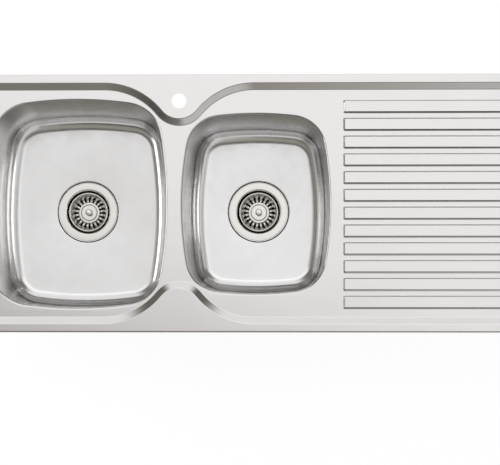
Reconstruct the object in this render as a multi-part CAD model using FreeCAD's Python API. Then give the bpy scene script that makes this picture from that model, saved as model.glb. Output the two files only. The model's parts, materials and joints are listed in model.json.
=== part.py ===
import FreeCAD, Part
import math
import os
from FreeCAD import Vector

# Pressed stainless kitchen sink: a large bowl, a smaller bowl and a ribbed drainer in one top.
# Lengths are in millimetres. +X runs towards the drainer, +Y to the back and +Z up.
# The origin is the middle of the top in plan, on the worktop that its rim rests on.

# Pressed top: a raised flat border, an S-shaped step down to the wet deck, and a folded lip
top_length = 1200.0
top_depth = 480.0
top_corner_radius = 15.0
top_sheet = 0.8
border_height = 6.0
border_width = 15.5
lip_bend_radius = 3.0
step_width = 14.0
step_drop = 6.5
step_bend_share = 0.44
step_corner_radius = 42.0

# Tap ledge: the border runs in between the bowls as a rounded tongue, at the back and the front
tap_back_gap = 50.0
tap_hole_radius = 14.0
tap_offset_share = 0.0045
tongue_reach_share = 0.0555
tongue_half_width_share = 0.1161
tongue_tip_share = 0.6

# Bowls: bulging outlines, a rolled rim pressed from the top, and a deep drawn bowl welded under it
main_bowl_end_ledge = 19.1
main_bowl_side_ledge = 16.0
main_bowl_half_width_share = 0.1382
main_bowl_side_bulge_share = 0.1407
main_bowl_end_bulge_share = 0.1185
main_bowl_corner_share = 0.422
bowl_gap_share = 0.02475
small_bowl_ledge_share = 0.638
small_bowl_half_width_share = 0.1142
small_bowl_side_bulge_share = 0.161
small_bowl_end_bulge_share = 0.1123
small_bowl_corner_share = 0.467
bowl_setback = 2.6
rim_roll_radius = 3.5
rim_collar_depth = 8.0
bowl_sheet = 0.8
bowl_depth = 170.0
bowl_draft_degrees = 3.5
bowl_foot_radius = 26.0
pad_thickness = 3.0
pad_margin = 4.0

# Drainer: raised ribs pressed upwards from the wet deck
rib_count = 12
rib_width_share = 0.775
rib_height = 3.0
rib_wall_width = 2.5
rib_bend_share = 0.85
rib_corner_radius = 3.2
rib_bowl_gap = 25.0
rib_end_gap = 15.5
rib_back_gap = 18.0
rib_front_gap = 14.3

# Foam strip under the border
seal_edge_gap = 0.4
seal_width = 8.0

# Clip rails: C-channels welded under the wet deck, just inside the worktop cut-out
rail_width = 11.0
rail_height = 9.0
rail_sheet = 1.2
rail_slot_width = 6.0
rail_edge_gap = 0.5
rail_end_gap = 12.0
end_rail_length = 240.0

# Clips: a square nut in the rail, a hanging screw, and a strap arm that turns under the worktop
clip_nut_height = 4.0
clip_screw_radius = 2.5
clip_screw_length = 42.0
clip_head_radius = 4.6
clip_head_height = 3.5
arm_width = 14.0
arm_thickness = 2.5
arm_reach = 38.0
arm_toe_length = 9.0
arm_ramp_length = 6.0
arm_lift = 7.0
side_clip_inset = 95.0
shaft_clearance = 0.05
part_clearance = 0.3

# Waste fittings: heights below are measured from the inside of the bowl floor
recess_depth = 3.0
recess_bend_width = 4.0
recess_bend_share = 0.9
flange_radius = 56.0
flange_gap = 1.0
flange_roll = 2.5
flange_seal_height = 1.4
flange_seal_width = 9.0
cup_sheet = 1.0
cup_throat_radius = 41.5
cup_depth = 40.0
cup_hole_count = 8
cup_hole_radius = 8.0
cup_hole_circle = 26.0
floor_hole_gap = 2.0
body_seal_height = 3.0
body_seal_width = 9.0
body_gap = 3.0
body_wall = 3.4
body_flange_radius = 58.0
body_depth = 52.0
body_cone_height = 16.0
neck_length = 6.0
outlet_radius = 23.9
outlet_length = 32.0
boss_radius = 8.5
boss_height = 17.0
boss_web_count = 3
boss_web_thickness = 3.0
bolt_radius = 3.0
bolt_length = 16.0
bolt_head_radius = 6.0
bolt_head_height = 3.2
insert_radius = 5.0
insert_height = 12.0

# Strainer basket with its knob, stem nut and rubber stopper
basket_sheet = 0.8
basket_drop = 5.0
basket_rim_radius = 39.0
basket_bead_width = 4.8
basket_bead_height = 2.4
basket_bead_top_share = 0.5
basket_floor_radius = 27.5
basket_floor_drop = 20.0
basket_trough_radius = 21.8
hub_radius = 20.2
hub_drop = 14.0
hub_crown_radius = 14.3
hub_crown_rise = 1.0
hub_groove_width = 2.2
hub_groove_depth = 1.4
slot_count = 20
slot_width = 3.8
slot_inner_radius = 22.0
slot_rise = 2.4
knob_radius = 6.4
knob_edge = 1.4
knob_height = 13.0
knob_head_height = 6.0
knob_neck_radius = 4.6
stem_radius = 3.0
stem_nut_radius = 5.5
stem_nut_height = 4.0
stem_foot_radius = 5.5
stem_foot_height = 1.4
stopper_radius = 38.5
stopper_lip_width = 2.5
stopper_hub_radius = 13.0
stopper_thickness = 2.6
stopper_rise = 7.0
cut_overrun = 2.0

# Levels and places that follow from the sizes above
full_turn = 360.0
deck_level = border_height - step_drop
deck_underside = deck_level - top_sheet
collar_level = deck_level - rim_collar_depth
floor_level = deck_level - bowl_depth
deck_half_length = top_length / 2 - border_width - step_width
deck_half_depth = top_depth / 2 - border_width - step_width
main_bowl_half_width = main_bowl_half_width_share * top_length
bowl_y = -bowl_setback / 2
main_bowl_half_depth = deck_half_depth + bowl_y - main_bowl_side_ledge
main_bowl_x = main_bowl_end_ledge + main_bowl_half_width - deck_half_length
tongue_reach = tongue_reach_share * top_length
tongue_half_width = tongue_half_width_share * top_length
tongue_tip_radius = tongue_tip_share * tongue_reach
tongue_span = (tongue_half_width ** 2 + tongue_reach ** 2) / (2 * tongue_reach)
tongue_shoulder_radius = tongue_span - tongue_tip_radius
tongue_tip_y = top_depth / 2 - border_width - tongue_reach
small_bowl_half_width = small_bowl_half_width_share * top_length
small_bowl_half_depth = deck_half_depth + bowl_y - small_bowl_ledge_share * tongue_reach
small_bowl_left = main_bowl_x + main_bowl_half_width + bowl_gap_share * top_length
small_bowl_x = small_bowl_left + small_bowl_half_width
tap_x = small_bowl_left - tap_offset_share * top_length
tap_y = top_depth / 2 - tap_back_gap
rib_start_x = small_bowl_x + small_bowl_half_width + rib_bowl_gap
rib_span = 2 * deck_half_depth - rib_back_gap - rib_front_gap
rib_pitch = rib_span / (rib_count - 1 + rib_width_share)
rib_middle_y = (rib_front_gap - rib_back_gap) / 2
rib_width = rib_width_share * rib_pitch
recess_radius = flange_radius + flange_gap
floor_hole_radius = cup_throat_radius + cup_sheet + floor_hole_gap
flange_level = flange_seal_height + cup_sheet - recess_depth
cup_floor = flange_level - cup_depth
body_top = -recess_depth - bowl_sheet - body_seal_height
body_radius = cup_throat_radius + cup_sheet + body_gap
body_cone_top = body_top - body_depth
body_cone_foot = body_cone_top - body_cone_height
outlet_level = body_cone_foot - neck_length
outlet_bore = outlet_radius - body_wall


def on_circle(centre, radius, degrees):
    turn = math.radians(degrees)
    return (centre[0] + radius * math.cos(turn), centre[1] + radius * math.sin(turn))


def line(start, end):
    return {"start": start, "end": end}


def arc(centre, radius, first, turn):
    # a turn above zero bends round the inside of the outline, one below zero round the outside
    return {"centre": centre, "radius": radius, "first": first, "turn": turn}


def inset(outline, distance):
    """The same outline, moved inwards by a distance."""
    moved = []
    for part in outline:
        if "centre" in part:
            side = math.copysign(distance, part["turn"])
            moved.append(dict(part, radius=part["radius"] - side))
            continue
        (x0, y0), (x1, y1) = part["start"], part["end"]
        share = distance / math.hypot(x1 - x0, y1 - y0)
        shift = ((y0 - y1) * share, (x1 - x0) * share)
        moved.append(line((x0 + shift[0], y0 + shift[1]), (x1 + shift[0], y1 + shift[1])))
    return moved


def wire(outline, level):
    """The outline as a closed wire at one height."""
    edges = []
    for part in outline:
        if "centre" not in part:
            ends = [Vector(x, y, level) for x, y in (part["start"], part["end"])]
            edges.append(Part.LineSegment(*ends).toShape())
        elif abs(part["turn"]) == full_turn:
            edges.append(Part.makeCircle(part["radius"], Vector(*part["centre"], level)))
        else:
            angles = [part["first"] + part["turn"] * share for share in (0, 0.5, 1)]
            points = [on_circle(part["centre"], part["radius"], angle) for angle in angles]
            edges.append(Part.Arc(*[Vector(x, y, level) for x, y in points]).toShape())
    return Part.Wire(edges)


def plate(outline, holes, top, thickness):
    """A flat plate with holes, downwards from its top face."""
    wires = [wire(shape, top) for shape in [outline] + holes]
    return Part.makeFace(wires, "Part::FaceMakerBullseye").extrude(Vector(0, 0, -thickness))


def section_face(section, base, inward):
    """A cross-section in (inward distance, height), stood up at one point of an outline."""
    edges = []
    for points in section:
        spots = [Vector(base[0] + inward[0] * u, base[1] + inward[1] * u, z) for u, z in points]
        curve = Part.LineSegment(*spots) if len(spots) == 2 else Part.Arc(*spots)
        edges.append(curve.toShape())
    return Part.Face(Part.Wire(edges))


def sweep(outline, section):
    """A cross-section run round an outline, one solid for each straight or arc."""
    solids = []
    for part in outline:
        if "centre" in part:
            base = on_circle(part["centre"], part["radius"], part["first"])
            toward = math.copysign(1, part["turn"]) / part["radius"]
            inward = [(c - b) * toward for c, b in zip(part["centre"], base)]
            face = section_face(section, base, inward)
            axis = Vector(0, 0, math.copysign(1, part["turn"]))
            solids.append(face.revolve(Vector(*part["centre"], 0), axis, abs(part["turn"])))
            continue
        (x0, y0), (x1, y1) = part["start"], part["end"]
        length = math.hypot(x1 - x0, y1 - y0)
        face = section_face(section, (x0, y0), ((y0 - y1) / length, (x1 - x0) / length))
        solids.append(face.extrude(Vector(x1 - x0, y1 - y0, 0)))
    return solids


def joined(solids):
    whole = solids[0].multiFuse(solids[1:]).removeSplitter()
    return whole.Solids[0]


def s_bend(width, first, last, sheet, bend_share):
    """Section of a sheet that goes from one level to another by a bend, a flank and an opposite bend.

    A bend share of one leaves no straight flank between the bends."""
    rise = abs(last - first)
    fall = math.copysign(1, first - last)
    spread = width ** 2 + rise ** 2
    radius = bend_share * spread / (4 * rise)
    half = math.atan2(rise, width + math.sqrt((1 - bend_share) * spread))
    top, under = [], []
    for centre, side, near, far in (
        ((0, first - fall * radius), fall, 0, 1),
        ((width, last + fall * radius), -fall, 1, 0),
    ):
        for path, bend in ((top, radius), (under, radius - side * sheet)):
            points = []
            for share in (0, 0.5, 1):
                lean = 2 * half * (near + (far - near) * share)
                across = math.copysign(math.sin(lean), side * fall)
                points.append((centre[0] + across * bend, centre[1] + side * math.cos(lean) * bend))
            path.append(points)
    return [
        top[0],
        [top[0][2], top[1][0]],
        top[1],
        [top[1][2], under[1][2]],
        under[1][::-1],
        [under[1][0], under[0][2]],
        under[0][::-1],
        [under[0][0], top[0][0]],
    ]


def quarter_bend(radius, sheet, level, foot, lip_side):
    """Section of a sheet that turns down from a flat and runs on to its foot.

    The upright face stands on the outline, and the flat lies on the side that is given."""
    bend = level - radius
    slant = math.sqrt(0.5)
    outer = lip_side * radius
    wall = lip_side * sheet
    inner = radius - sheet
    return [
        [(outer, level), (outer - outer * slant, bend + radius * slant), (0, bend)],
        [(0, bend), (0, foot)],
        [(0, foot), (wall, foot)],
        [(wall, foot), (wall, bend)],
        [(wall, bend), (outer - lip_side * inner * slant, bend + inner * slant), (outer, bend + inner)],
        [(outer, bend + inner), (outer, level)],
    ]


def rounded_rectangle(x0, y0, x1, y1, radius):
    corners = [(x1, y0, -90), (x1, y1, 0), (x0, y1, 90), (x0, y0, 180)]
    outline = []
    for x, y, first in corners:
        centre = (x - math.copysign(radius, x - x0 - radius), y - math.copysign(radius, y - y0 - radius))
        outline.append(arc(centre, radius, first, 90))
    parts = []
    for here, after in zip(outline, outline[1:] + outline[:1]):
        end = on_circle(here["centre"], radius, here["first"] + here["turn"])
        parts += [here, line(end, on_circle(after["centre"], radius, after["first"]))]
    return parts


def circle(centre, radius):
    return [arc(centre, radius, 0, full_turn)]


def step_outline():
    """Upper edge of the step: a rounded rectangle with a tongue let in at the back and the front."""
    x1 = top_length / 2 - border_width
    y1 = top_depth / 2 - border_width
    across = tongue_half_width
    corner = step_corner_radius
    tip_y = tongue_tip_y + tongue_tip_radius
    shoulder_y = y1 - tongue_shoulder_radius
    lean = math.degrees(math.atan2(across, tip_y - shoulder_y))
    parts = []
    for side, turn in ((-1, 180), (1, 0)):
        # one half, from the middle of an end round to the other end, seen from that side
        def spot(x, y):
            return (tap_x + side * x, side * y)

        near = side * (side * x1 - tap_x)
        far = side * (side * -x1 - tap_x)
        right = (near - corner, y1 - corner)
        left = (far + corner, y1 - corner)
        parts += [
            line(spot(near, 0), spot(near, right[1])),
            arc(spot(*right), corner, turn, 90),
            line(spot(right[0], y1), spot(across, y1)),
            arc(spot(across, shoulder_y), tongue_shoulder_radius, turn + 90, lean),
            arc(spot(0, tip_y), tongue_tip_radius, turn - 90 + lean, -2 * lean),
            arc(spot(-across, shoulder_y), tongue_shoulder_radius, turn + 90 - lean, lean),
            line(spot(-across, y1), spot(left[0], y1)),
            arc(spot(*left), corner, turn + 90, 90),
            line(spot(far, left[1]), spot(far, 0)),
        ]
    return parts


def bowl_sizes(name, x, half_width, half_depth, side_bulge_share, end_bulge_share, corner_share):
    """The arcs of a bowl's rim, from how far its sides and its ends bulge."""
    return {
        "name": name,
        "x": x,
        "y": bowl_y,
        "half_width": half_width,
        "half_depth": half_depth,
        "side": half_depth ** 2 / (2 * side_bulge_share * half_width),
        "end": half_width / (2 * end_bulge_share),
        "corner": corner_share * half_width,
    }


def bowl_outline(bowl):
    """Rim of a bowl: four bulging arcs joined by corner arcs, each touching the next."""
    corner = bowl["corner"]
    side_x = bowl["half_width"] - bowl["side"]
    end_y = bowl["half_depth"] - bowl["end"]
    side_reach = bowl["side"] - corner
    end_reach = bowl["end"] - corner
    apart = math.hypot(side_x, end_y)
    along = (side_reach ** 2 - end_reach ** 2 + apart ** 2) / (2 * apart)
    aside = math.sqrt(side_reach ** 2 - along ** 2)
    unit = (-side_x / apart, end_y / apart)
    corner_x = side_x + along * unit[0] - aside * unit[1]
    corner_y = along * unit[1] + aside * unit[0]
    side_lean = math.degrees(math.atan2(corner_y, corner_x - side_x))
    end_lean = math.degrees(math.atan2(corner_y - end_y, corner_x))
    x, y = bowl["x"], bowl["y"]
    parts = []
    for turn in (0, 180):
        way = math.cos(math.radians(turn))
        left, right = x - way * corner_x, x + way * corner_x
        back = y + way * corner_y
        parts += [
            arc((x + way * side_x, y), bowl["side"], turn - side_lean, 2 * side_lean),
            arc((right, back), corner, turn + side_lean, end_lean - side_lean),
            arc((x, y + way * end_y), bowl["end"], turn + end_lean, 180 - 2 * end_lean),
            arc((left, back), corner, turn + 180 - end_lean, end_lean - side_lean),
        ]
    return parts


def rib_outline(index):
    middle = rib_middle_y + (index - (rib_count - 1) / 2) * rib_pitch
    end_x = deck_half_length - rib_end_gap
    low, high = middle - rib_width / 2, middle + rib_width / 2
    return rounded_rectangle(rib_start_x, low, end_x, high, rib_corner_radius)


def make_rib(outline):
    section = s_bend(rib_wall_width, deck_level, deck_level + rib_height, top_sheet, rib_bend_share)
    crown = plate(inset(outline, rib_wall_width), [], deck_level + rib_height, top_sheet)
    return joined(sweep(outline, section) + [crown])


def make_sink_top(bowls):
    """The pressing in one sheet: lip, border, step, wet deck, drainer ribs and bowl rims."""
    half_x, half_y = top_length / 2, top_depth / 2
    outer = rounded_rectangle(-half_x, -half_y, half_x, half_y, top_corner_radius)
    step = step_outline()
    ribs = [rib_outline(index) for index in range(rib_count)]
    rims = [bowl_outline(bowl) for bowl in bowls]
    tap_hole = circle((tap_x, tap_y), tap_hole_radius)
    border = plate(inset(outer, lip_bend_radius), [step, tap_hole], border_height, top_sheet)
    openings = [inset(rim, -rim_roll_radius) for rim in rims] + ribs
    deck = plate(inset(step, step_width), openings, deck_level, top_sheet)
    solids = [border, deck]
    solids += sweep(outer, quarter_bend(lip_bend_radius, top_sheet, border_height, 0, 1))
    solids += sweep(step, s_bend(step_width, border_height, deck_level, top_sheet, step_bend_share))
    for rim in rims:
        solids += sweep(rim, quarter_bend(rim_roll_radius, top_sheet, deck_level, collar_level, -1))
    first = make_rib(ribs[0])
    rows = [placed(first, 0, 0, index * rib_pitch, 0) for index in range(rib_count)]
    return joined(solids + rows)


def bowl_foot():
    """Where the drafted wall ends and where the floor begins, both as inward distances."""
    draft = math.radians(bowl_draft_degrees)
    fall = collar_level - floor_level - bowl_foot_radius * (1 - math.sin(draft))
    wall_end = fall * math.tan(draft)
    floor_start = wall_end + bowl_foot_radius * math.cos(draft)
    return draft, wall_end, floor_start


def bowl_wall_section():
    draft, _, floor_start = bowl_foot()
    centre = (floor_start, floor_level + bowl_foot_radius)
    faces = []
    for radius, start in (
        (bowl_foot_radius, 0),
        (bowl_foot_radius + bowl_sheet, -bowl_sheet / math.cos(draft)),
    ):
        bend = []
        for share in (0, 0.5, 1):
            lean = draft + (math.pi / 2 - draft) * share
            bend.append((centre[0] - radius * math.cos(lean), centre[1] - radius * math.sin(lean)))
        faces.append([[(start, collar_level), bend[0]], bend])
    (inner_wall, inner_bend), (outer_wall, outer_bend) = faces
    return [
        inner_wall,
        inner_bend,
        [inner_bend[2], outer_bend[2]],
        outer_bend[::-1],
        outer_wall[::-1],
        [outer_wall[0], inner_wall[0]],
    ]


def make_bowl(bowl):
    """A drawn bowl: drafted walls, a round foot, and a floor pressed down to seat the waste."""
    outline = bowl_outline(bowl)
    floor = inset(outline, bowl_foot()[2])
    centre = (bowl["x"], bowl["y"])
    recess_edge = circle(centre, recess_radius + recess_bend_width)
    recess_level = floor_level - recess_depth
    seat = plate(circle(centre, recess_radius), [circle(centre, floor_hole_radius)], recess_level, bowl_sheet)
    solids = [plate(floor, [recess_edge], floor_level, bowl_sheet), seat]
    solids += sweep(outline, bowl_wall_section())
    bend = s_bend(recess_bend_width, floor_level, recess_level, bowl_sheet, recess_bend_share)
    solids += sweep(recess_edge, bend)
    return joined(solids)


def make_sound_pad(bowl):
    outline = inset(bowl_outline(bowl), bowl_foot()[2] + pad_margin)
    centre = (bowl["x"], bowl["y"])
    hole = circle(centre, recess_radius + recess_bend_width + pad_margin)
    return plate(outline, [hole], floor_level - bowl_sheet, pad_thickness)


def make_edge_seal():
    half_x, half_y = top_length / 2, top_depth / 2
    outer = rounded_rectangle(-half_x, -half_y, half_x, half_y, top_corner_radius)
    edge = lip_bend_radius + seal_edge_gap
    height = border_height - top_sheet
    return plate(inset(outer, edge), [inset(outer, edge + seal_width)], height, height)


def prism_y(points, width):
    """An outline in (x, z), as wide as given and centred on Y."""
    corners = [Vector(x, -width / 2, z) for x, z in points]
    return Part.Face(Part.makePolygon(corners + corners[:1])).extrude(Vector(0, width, 0))


def rod(radius, bottom, height):
    return Part.makeCylinder(radius, height, Vector(0, 0, bottom))


def hexagon(radius, bottom, height):
    corners = [Vector(*on_circle((0, 0), radius, 60 * index), bottom) for index in range(6)]
    return Part.Face(Part.makePolygon(corners + corners[:1])).extrude(Vector(0, 0, height))


def block(x0, x1, width, bottom, height):
    return Part.makeBox(x1 - x0, width, height, Vector(x0, -width / 2, bottom))


def make_rail(length):
    """A C-channel along X, hanging from its top face at zero height, with its slot below."""
    half = length / 2
    reach = half + cut_overrun
    shell = block(-half, half, rail_width, -rail_height, rail_height)
    channel_floor = rail_sheet - rail_height
    hollow = block(-reach, reach, rail_width - 2 * rail_sheet, channel_floor, rail_height - 2 * rail_sheet)
    slot_height = rail_sheet + 2 * cut_overrun
    slot = block(-reach, reach, rail_slot_width, -rail_height - cut_overrun, slot_height)
    return shell.cut(hollow).cut(slot)


def clip_levels():
    """Heights below the rail's top: underside of the nut, top of the screw's head."""
    nut_level = rail_sheet - rail_height + part_clearance
    head_level = nut_level + clip_nut_height - clip_screw_length
    return nut_level, head_level


def clip_pieces():
    """Nut, screw and arm of one clip, with the screw on the Z axis and the rail along X."""
    nut_level, head_level = clip_levels()
    nut_width = rail_width - 2 * rail_sheet - 2 * part_clearance
    nut = block(-nut_width / 2, nut_width / 2, nut_width, nut_level, clip_nut_height)
    bore_radius = clip_screw_radius + shaft_clearance
    bore = rod(bore_radius, nut_level - cut_overrun, clip_nut_height + 2 * cut_overrun)
    head = hexagon(clip_head_radius, head_level - clip_head_height, clip_head_height)
    screw = head.fuse(rod(clip_screw_radius, head_level, clip_screw_length)).removeSplitter()
    low = head_level + part_clearance
    high = low + arm_thickness
    toe_start = arm_reach - arm_toe_length
    ramp_start = toe_start - arm_ramp_length
    strap = prism_y(
        [
            (0, low), (ramp_start, low), (toe_start, low + arm_lift), (arm_reach, low + arm_lift),
            (arm_reach, high + arm_lift), (toe_start, high + arm_lift), (ramp_start, high), (0, high),
        ],
        arm_width,
    )
    arm = strap.fuse(rod(arm_width / 2, low, arm_thickness)).removeSplitter()
    eye = rod(bore_radius, low - cut_overrun, arm_thickness + 2 * cut_overrun)
    return {"nut": nut.cut(bore), "screw": screw, "arm": arm.cut(eye)}


def placed(shape, turn, x, y, z):
    copy = shape.copy()
    copy.rotate(Vector(0, 0, 0), Vector(0, 0, 1), turn)
    copy.translate(Vector(x, y, z))
    return copy


def rails_and_clips():
    """Six rails, each with its clips, keyed by node name."""
    from_edge = border_width + step_width + rail_edge_gap + rail_width / 2
    side_y = top_depth / 2 - from_edge
    end_x = top_length / 2 - from_edge
    corner_x = top_length / 2 - border_width - step_corner_radius - rail_end_gap
    tongue_half = tongue_half_width + rail_end_gap
    left = (-corner_x, tap_x - tongue_half)
    right = (tap_x + tongue_half, corner_x)
    near, far = right[0] + side_clip_inset, right[1] - side_clip_inset
    # each row: rail name, turn, middle of the rail, its length, and its clips' places along the turn
    rows = []
    for side, turn, way in (("back", 0, 1), ("front", 180, -1)):
        middle = sum(left) / 2
        rows.append((side + "_left", turn, (middle, way * side_y), left[1] - left[0], {side + "_clip_1": 0}))
        middle = sum(right) / 2
        spots = {side + "_clip_2": way * (near - middle), side + "_clip_3": way * (far - middle)}
        rows.append((side + "_right", turn, (middle, way * side_y), right[1] - right[0], spots))
    rows.append(("left", 90, (-end_x, 0), end_rail_length, {"left_clip": 0}))
    rows.append(("right", 270, (end_x, 0), end_rail_length, {"right_clip": 0}))
    nodes = {}
    pieces = clip_pieces()
    for name, turn, (x, y), length, clips in rows:
        nodes[name + "_rail"] = placed(make_rail(length), turn, x, y, deck_underside)
        for clip, along in clips.items():
            spot_x, spot_y = on_circle((x, y), along, turn)
            for piece, shape in pieces.items():
                nodes[clip + "_" + piece] = placed(shape, turn, spot_x, spot_y, deck_underside)
    return nodes


def turned(points):
    """A closed outline in (radius, height), turned about the Z axis."""
    corners = [Vector(radius, 0, height) for radius, height in points]
    face = Part.Face(Part.makePolygon(corners + corners[:1]))
    return face.revolve(Vector(0, 0, 0), Vector(0, 0, 1), full_turn)


def walled(points, wall):
    """The face line of a turned shell, given from its rim inwards, closed by a wall under and outside it."""
    normals = []
    for (r0, z0), (r1, z1) in zip(points, points[1:]):
        length = math.hypot(r1 - r0, z1 - z0)
        normals.append(((z0 - z1) / length, (r1 - r0) / length))
    back = []
    for point, before, after in zip(points, normals[:1] + normals, normals + normals[-1:]):
        mitre = wall / (1 + before[0] * after[0] + before[1] * after[1])
        back.append((point[0] + (before[0] + after[0]) * mitre, point[1] + (before[1] + after[1]) * mitre))
    return points + back[::-1]


def ring(outer, inner, bottom, height):
    return rod(outer, bottom, height).cut(rod(inner, bottom - cut_overrun, height + 2 * cut_overrun))


def make_waste_cup():
    """Flange and strainer cup in one drawn sheet, with an open pattern of holes in its floor."""
    cup = turned(walled([
        (flange_radius, flange_level),
        (cup_throat_radius + flange_roll, flange_level),
        (cup_throat_radius, flange_level - flange_roll),
        (cup_throat_radius, cup_floor),
        (bolt_radius + part_clearance, cup_floor),
    ], cup_sheet))
    through = cup_sheet + 2 * cut_overrun
    for index in range(cup_hole_count):
        hole = rod(cup_hole_radius, cup_floor - cup_sheet - cut_overrun, through)
        x, y = on_circle((0, 0), cup_hole_circle, full_turn * index / cup_hole_count)
        hole.translate(Vector(x, y, 0))
        cup = cup.cut(hole)
    return cup


def make_waste_body():
    """Moulded body below the floor, with a webbed boss for the clamp bolt and a short neck."""
    shell = turned(walled([
        (body_flange_radius, body_top),
        (body_radius, body_top),
        (body_radius, body_cone_top),
        (outlet_bore, body_cone_foot),
        (outlet_bore, outlet_level),
    ], body_wall))
    boss_bottom = cup_floor - cup_sheet - boss_height
    solids = [shell, rod(boss_radius, boss_bottom, boss_height)]
    for index in range(boss_web_count):
        web = block(0, body_radius + body_wall / 2, boss_web_thickness, boss_bottom, boss_height)
        web.rotate(Vector(0, 0, 0), Vector(0, 0, 1), full_turn * index / boss_web_count)
        solids.append(web)
    pocket = rod(insert_radius + shaft_clearance, boss_bottom - cut_overrun, boss_height + 2 * cut_overrun)
    return joined(solids).cut(pocket)


def make_basket():
    """Strainer basket: beaded rim, tapered wall, slotted trough and a hub with a grooved crown."""
    rim_level = flange_level - basket_drop
    bead_foot = rim_level - basket_bead_height
    bead_middle = basket_rim_radius - basket_bead_width / 2
    half_top = basket_bead_width * basket_bead_top_share / 2
    wall_top = basket_rim_radius - basket_bead_width
    floor = rim_level - basket_floor_drop
    hub = rim_level - hub_drop
    basket = turned(walled([
        (basket_rim_radius, bead_foot),
        (bead_middle + half_top, rim_level),
        (bead_middle - half_top, rim_level),
        (wall_top, bead_foot),
        (basket_floor_radius, floor),
        (basket_trough_radius, floor),
        (hub_radius, hub),
        (hub_crown_radius + hub_groove_width, hub),
        (hub_crown_radius + hub_groove_width / 2, hub - hub_groove_depth),
        (hub_crown_radius, hub + hub_crown_rise),
        (stem_radius + part_clearance, hub + hub_crown_rise),
    ], basket_sheet))
    bottom = floor - basket_sheet - cut_overrun
    height = floor + slot_rise - bottom
    for index in range(slot_count):
        slot = block(slot_inner_radius, wall_top, slot_width, bottom, height)
        slot.rotate(Vector(0, 0, 0), Vector(0, 0, 1), full_turn * index / slot_count)
        basket = basket.cut(slot)
    return basket


def make_knob(stem_foot):
    """Knob and stem in one turned piece, with a foot that carries the stopper."""
    seat = flange_level - basket_drop - hub_drop + hub_crown_rise
    top = seat + knob_height
    under = top - knob_head_height
    return turned([
        (0, top),
        (knob_radius - knob_edge, top),
        (knob_radius, top - knob_edge),
        (knob_radius, under + knob_edge),
        (knob_neck_radius, under),
        (knob_neck_radius, seat),
        (stem_radius, seat),
        (stem_radius, stem_foot),
        (stem_foot_radius, stem_foot),
        (stem_foot_radius, stem_foot - stem_foot_height),
        (0, stem_foot - stem_foot_height),
    ])


def waste_pieces():
    """All pieces of one waste fitting, about its own axis with zero at the bowl floor."""
    seal_level = -recess_depth
    bolt_top = cup_floor + bolt_head_height
    insert_bottom = cup_floor - cup_sheet - insert_height
    hub_under = flange_level - basket_drop - hub_drop + hub_crown_rise - basket_sheet
    stopper_foot = cup_floor + part_clearance + stopper_thickness
    stopper_top = stopper_foot + stopper_rise
    stem_hole = stem_radius + shaft_clearance
    stopper = turned(walled([
        (stopper_radius, stopper_foot),
        (stopper_radius - stopper_lip_width, stopper_foot),
        (stopper_hub_radius, stopper_top),
        (stem_hole, stopper_top),
    ], stopper_thickness))
    bolt = hexagon(bolt_head_radius, cup_floor, bolt_head_height)
    bolt = bolt.fuse(rod(bolt_radius, cup_floor - bolt_length, bolt_length)).removeSplitter()
    nut = hexagon(stem_nut_radius, hub_under - stem_nut_height, stem_nut_height)
    nut_bore = rod(stem_hole, hub_under - stem_nut_height - cut_overrun, stem_nut_height + 2 * cut_overrun)
    seal_outer = flange_radius - cup_sheet
    return {
        "waste_cup": make_waste_cup(),
        "flange_seal": ring(seal_outer, seal_outer - flange_seal_width, seal_level, flange_seal_height),
        "body_seal": ring(flange_radius, flange_radius - body_seal_width, body_top, body_seal_height),
        "waste_body": make_waste_body(),
        "outlet_tube": ring(outlet_radius, outlet_bore, outlet_level - outlet_length, outlet_length),
        "clamp_bolt": bolt,
        "insert_nut": ring(insert_radius, bolt_radius + shaft_clearance, insert_bottom, insert_height),
        "basket": make_basket(),
        "basket_knob": make_knob(stopper_top - stopper_thickness),
        "stopper": stopper,
        "stem_nut": nut.cut(nut_bore),
    }


def make_nodes():
    bowls = [
        bowl_sizes(
            "main", main_bowl_x, main_bowl_half_width, main_bowl_half_depth,
            main_bowl_side_bulge_share, main_bowl_end_bulge_share, main_bowl_corner_share,
        ),
        bowl_sizes(
            "small", small_bowl_x, small_bowl_half_width, small_bowl_half_depth,
            small_bowl_side_bulge_share, small_bowl_end_bulge_share, small_bowl_corner_share,
        ),
    ]
    nodes = {"sink_top": make_sink_top(bowls), "edge_seal": make_edge_seal()}
    nodes.update(rails_and_clips())
    fittings = waste_pieces()
    for bowl in bowls:
        nodes[bowl["name"] + "_bowl"] = make_bowl(bowl)
        nodes[bowl["name"] + "_sound_pad"] = make_sound_pad(bowl)
        for piece, shape in fittings.items():
            nodes[bowl["name"] + "_" + piece] = placed(shape, 0, bowl["x"], bowl["y"], floor_level)
    return nodes


os.makedirs("parts", exist_ok=True)
for node, shape in make_nodes().items():
    shape.exportStep(os.path.join("parts", node + ".step"))
    print(node, shape.ShapeType, len(shape.Solids), shape.isValid(), round(shape.Volume / 1000, 2), "cm3")
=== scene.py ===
import bmesh
import bpy
import json
import math
from mathutils import Matrix, Vector
from mathutils.geometry import tessellate_polygon

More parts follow.
